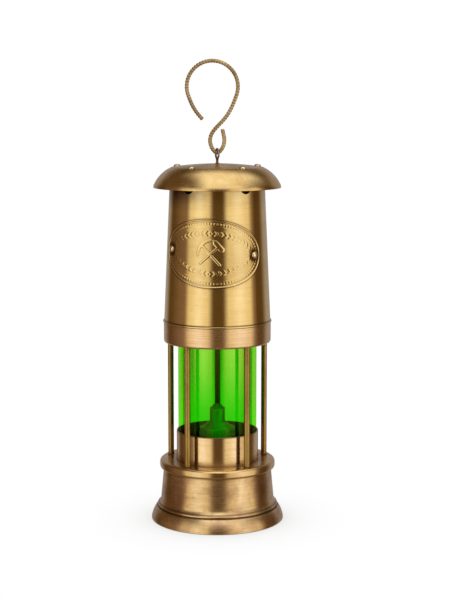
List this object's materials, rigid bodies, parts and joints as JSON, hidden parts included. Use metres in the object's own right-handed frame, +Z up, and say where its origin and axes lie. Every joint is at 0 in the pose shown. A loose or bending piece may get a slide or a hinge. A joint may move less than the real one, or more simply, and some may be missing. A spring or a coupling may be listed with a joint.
{
  "type": "miner's safety lamp",
  "caption": "Oil-burning safety lamp with a screw-off vessel, a glass cylinder in a pillar cage, a tall bonnet under a hood and a swivelling hook.",
  "frame": {"origin": "centre of the foot's underside, where the lamp stands", "axes": "+Z up along the lamp's axis, -Y towards the side with the oval plate, +X to that side's right"},
  "size_m": [0.087, 0.087, 0.301],
  "materials": {
    "brass_body": "satin, aged",
    "brass_turned": "turned, brushed round",
    "brass_plate": "pressed, dark in the recesses",
    "brass_wire": "drawn, tarnished",
    "green_glass": "clear green",
    "steel_gauze": "fine woven wire",
    "seal": "matt",
    "cotton": "braided and loose cotton"
  },
  "bodies": {
    "base": {"base_shell": "brass_body", "base_bottom_plate": "brass_body", "oil_wadding": "cotton", "fount_collar": "brass_turned"},
    "base_washer": {"base_seal": "seal"},
    "frame": {"lower_ring": "brass_turned", "glass_cup": "brass_turned", "lower_gasket": "seal", "glass": "green_glass", "upper_gasket": "seal", "pillars": "brass_turned", "pillar_screws": "brass_turned", "upper_ring": "brass_turned", "gauze_ring": "brass_turned", "gauze": "steel_gauze", "bonnet": "brass_body", "name_plate": "brass_plate", "plate_rivets": "brass_plate", "crown_ring": "brass_turned", "hood": "brass_body", "hood_rivets": "brass_turned", "eye_washer": "brass_turned"},
    "eye": {"split_pin_eye": "brass_wire"},
    "hook": {"hook": "brass_wire"},
    "burner_washer": {"burner_seal": "seal"},
    "burner": {"burner_cap": "brass_turned", "wick_tube": "brass_turned"},
    "wick": {"wick": "cotton"}
  },
  "joints": [
    {"name": "frame_turn", "type": "hinge", "parent": "base", "child": "base_washer", "pos_m": [0, 0, 0.0344], "axis": [0, 0, 1], "range_deg": [0, 1260]},
    {"name": "frame_rise", "type": "slide", "parent": "base_washer", "child": "frame", "axis": [0, 0, 1], "range_m": [0, 0.007]},
    {"name": "eye_swivel", "type": "hinge", "parent": "frame", "child": "eye", "pos_m": [0, 0, 0.2342], "axis": [0, 0, 1], "continuous": true},
    {"name": "hook_tilt", "type": "hinge", "parent": "eye", "child": "hook", "pos_m": [0, 0, 0.24125], "axis": [1, 0, 0], "range_deg": [-100, 100]},
    {"name": "burner_turn", "type": "hinge", "parent": "base", "child": "burner_washer", "pos_m": [0, 0, 0.0444], "axis": [0, 0, 1], "range_deg": [0, 1260]},
    {"name": "burner_rise", "type": "slide", "parent": "burner_washer", "child": "burner", "axis": [0, 0, 1], "range_m": [0, 0.00525]},
    {"name": "wick_slide", "type": "slide", "parent": "burner", "child": "wick", "axis": [0, 0, 1], "range_m": [-0.001, 0.006]}
  ],
  "couplings": [
    {"joint": "frame_turn", "follows": "frame_rise", "rad_per_m": 3141.6},
    {"joint": "burner_turn", "follows": "burner_rise", "rad_per_m": 4188.8}
  ]
}
